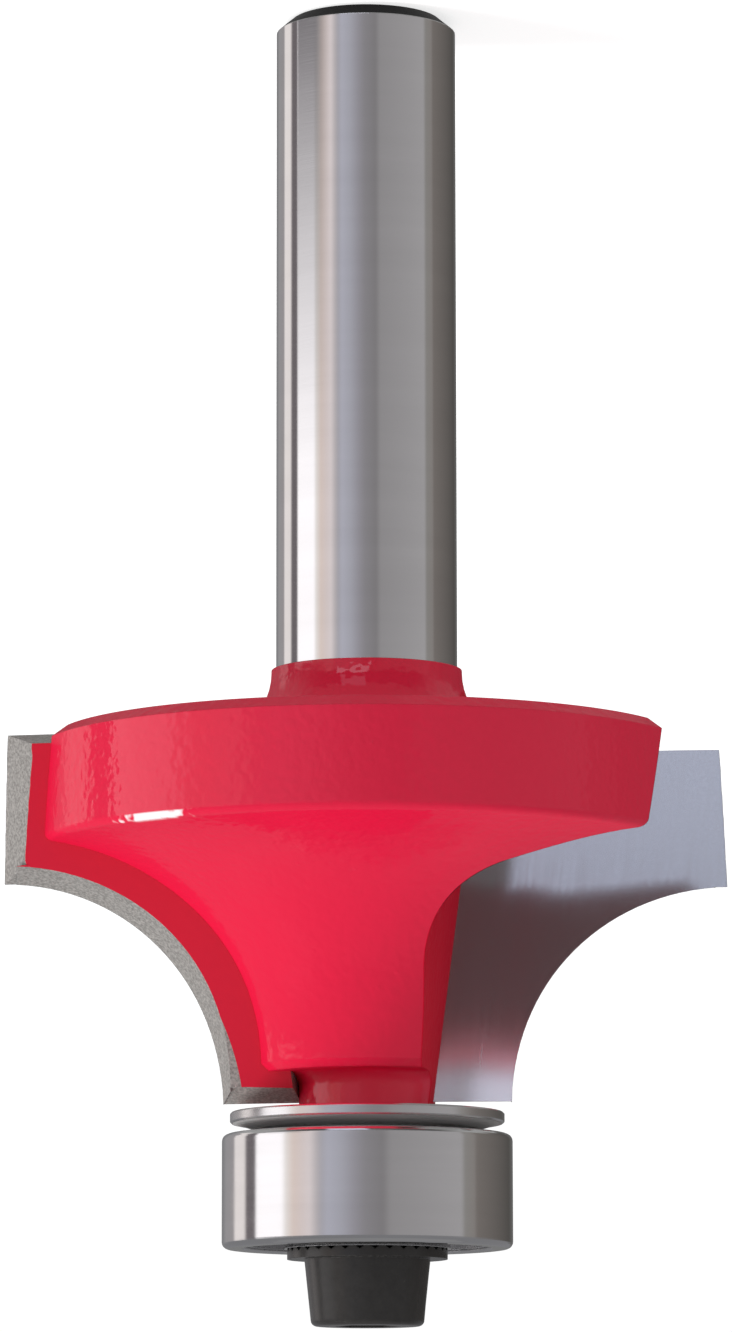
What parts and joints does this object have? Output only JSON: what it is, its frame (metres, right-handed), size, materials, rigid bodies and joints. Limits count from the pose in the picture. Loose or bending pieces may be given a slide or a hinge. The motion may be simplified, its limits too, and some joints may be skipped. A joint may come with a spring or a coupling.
{
  "type": "cove router bit",
  "caption": "Cove router bit: plain shank, painted disc body with brazed cutting tips, and a ball bearing held on by a flanged socket screw",
  "frame": {"origin": "centre of the shank's end face, on which the bit stands", "axes": "+Z runs along the axis of rotation, from the shank up to the bearing screw. The rake face seen from the front is at -X and faces -Y"},
  "size_m": [0.0318, 0.0288, 0.0582],
  "materials": {
    "red_paint": "gloss red paint on the cutter, bright ground steel on the shank and the pilot",
    "carbide": "ground tungsten carbide",
    "ground_steel": "finely ground, bright",
    "ball_steel": "polished",
    "cage_steel": "pressed strip",
    "shield_steel": "rolled sheet",
    "black_steel": "black oxide, satin"
  },
  "bodies": {
    "cutter": {"cutter_body": "red_paint", "cutting_tip_front": "carbide", "cutting_tip_back": "carbide", "dust_washer": "ground_steel", "bearing_inner_race": "ground_steel", "bearing_screw": "black_steel"},
    "outer_race": {"bearing_outer_race": "ground_steel", "shield_lower": "shield_steel", "shield_upper": "shield_steel", "snap_ring_lower": "shield_steel", "snap_ring_upper": "shield_steel"},
    "cage": {"cage_lower": "cage_steel", "cage_upper": "cage_steel"},
    "ball_1": {"bearing_ball_1": "ball_steel"},
    "ball_2": {"bearing_ball_2": "ball_steel"},
    "ball_3": {"bearing_ball_3": "ball_steel"},
    "ball_4": {"bearing_ball_4": "ball_steel"},
    "ball_5": {"bearing_ball_5": "ball_steel"},
    "ball_6": {"bearing_ball_6": "ball_steel"},
    "ball_7": {"bearing_ball_7": "ball_steel"}
  },
  "joints": [
    {"name": "outer_race_turn", "type": "hinge", "parent": "cutter", "child": "outer_race", "pos_m": [0, 0, 0.05234], "axis": [0, 0, 1], "continuous": true},
    {"name": "cage_turn", "type": "hinge", "parent": "cutter", "child": "cage", "pos_m": [0, 0, 0.05234], "axis": [0, 0, 1], "continuous": true},
    {"name": "ball_1_spin", "type": "hinge", "parent": "cage", "child": "ball_1", "pos_m": [0.00436, 0, 0.05234], "axis": [0, 0, 1], "continuous": true},
    {"name": "ball_2_spin", "type": "hinge", "parent": "cage", "child": "ball_2", "pos_m": [0.00272, 0.00341, 0.05234], "axis": [0, 0, 1], "continuous": true},
    {"name": "ball_3_spin", "type": "hinge", "parent": "cage", "child": "ball_3", "pos_m": [-0.00097, 0.00426, 0.05234], "axis": [0, 0, 1], "continuous": true},
    {"name": "ball_4_spin", "type": "hinge", "parent": "cage", "child": "ball_4", "pos_m": [-0.00393, 0.00189, 0.05234], "axis": [0, 0, 1], "continuous": true},
    {"name": "ball_5_spin", "type": "hinge", "parent": "cage", "child": "ball_5", "pos_m": [-0.00393, -0.00189, 0.05234], "axis": [0, 0, 1], "continuous": true},
    {"name": "ball_6_spin", "type": "hinge", "parent": "cage", "child": "ball_6", "pos_m": [-0.00097, -0.00426, 0.05234], "axis": [0, 0, 1], "continuous": true},
    {"name": "ball_7_spin", "type": "hinge", "parent": "cage", "child": "ball_7", "pos_m": [0.00272, -0.00341, 0.05234], "axis": [0, 0, 1], "continuous": true}
  ],
  "couplings": [
    {"joint": "cage_turn", "follows": "outer_race_turn", "ratio": 0.63637},
    {"joint": "ball_1_spin", "follows": "outer_race_turn", "ratio": 1.6969},
    {"joint": "ball_2_spin", "follows": "outer_race_turn", "ratio": 1.6969},
    {"joint": "ball_3_spin", "follows": "outer_race_turn", "ratio": 1.6969},
    {"joint": "ball_4_spin", "follows": "outer_race_turn", "ratio": 1.6969},
    {"joint": "ball_5_spin", "follows": "outer_race_turn", "ratio": 1.6969},
    {"joint": "ball_6_spin", "follows": "outer_race_turn", "ratio": 1.6969},
    {"joint": "ball_7_spin", "follows": "outer_race_turn", "ratio": 1.6969}
  ]
}
